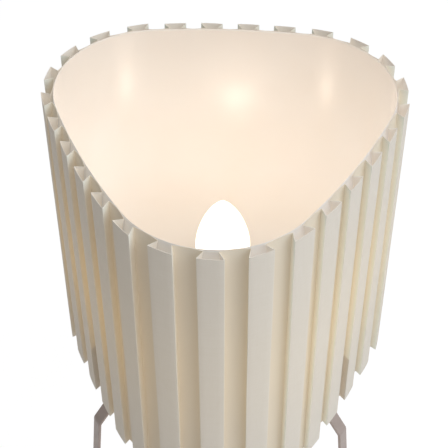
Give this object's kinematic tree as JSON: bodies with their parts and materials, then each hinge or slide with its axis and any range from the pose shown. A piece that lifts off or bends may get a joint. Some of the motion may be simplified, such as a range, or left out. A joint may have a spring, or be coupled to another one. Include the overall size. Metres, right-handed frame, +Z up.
{
  "type": "table lamp",
  "caption": "Table lamp with an open pleated cloth shade of rounded triangular plan on flat bar legs, around a screw-in candle bulb.",
  "frame": {"origin": "on the floor, on the lamp's upright axis", "axes": "+Z up along the lamp's axis, -Y towards the front corner of the shade, +X to the right seen from the front"},
  "size_m": [0.2334, 0.2468, 0.4],
  "materials": {
    "cloth": "matt off-white lampshade cloth in pressed box pleats",
    "liner": "translucent satin lampshade sheet",
    "leg_paint": "satin taupe paint",
    "foot_rubber": "matt",
    "screw_steel": "zinc plated",
    "bracket_steel": "white powder coat",
    "nipple_brass": "turned",
    "bush_plastic": "moulded",
    "holder_plastic": "moulded white",
    "holder_ceramic": "unglazed",
    "shell_brass": "pressed",
    "bulb_opal": "opal",
    "stem_glass": "clear",
    "filament": "yellow phosphor",
    "cap_nickel": "nickel plated",
    "board": "solder mask",
    "cap_glass": "black vitrified insulator",
    "contact_tin": "tinned"
  },
  "bodies": {
    "lamp": {"pleated_cover": "cloth", "shade_liner": "liner", "leg_right": "leg_paint", "leg_back": "leg_paint", "leg_left": "leg_paint", "foot_right": "foot_rubber", "foot_back": "foot_rubber", "foot_left": "foot_rubber", "liner_screws": "screw_steel", "holder_bracket": "bracket_steel", "bracket_screws": "screw_steel", "threaded_nipple": "nipple_brass", "lock_washer": "screw_steel", "nipple_nut": "nipple_brass", "cord_bush": "bush_plastic", "holder_base": "holder_plastic", "holder_shell": "holder_plastic", "holder_insert": "holder_ceramic", "screw_shell": "shell_brass", "centre_contact": "shell_brass", "terminal_screws": "shell_brass"},
    "bulb_lift": {"bulb_contact": "contact_tin"},
    "bulb": {"bulb_glass": "bulb_opal", "bulb_stem": "stem_glass", "led_filaments": "filament", "bulb_cap": "cap_nickel", "driver_board": "board", "bulb_insulator": "cap_glass"}
  },
  "joints": [
    {"name": "bulb_rise", "type": "slide", "parent": "lamp", "child": "bulb_lift", "axis": [0, 0, 1], "range_m": [0, 0.00988]},
    {"name": "bulb_turn", "type": "hinge", "parent": "bulb_lift", "child": "bulb", "pos_m": [0, 0, 0.231], "axis": [0, 0, 1], "range_deg": [0, 1260]}
  ],
  "couplings": [
    {"joint": "bulb_rise", "follows": "bulb_turn", "m_per_rad": 0.00044882}
  ]
}
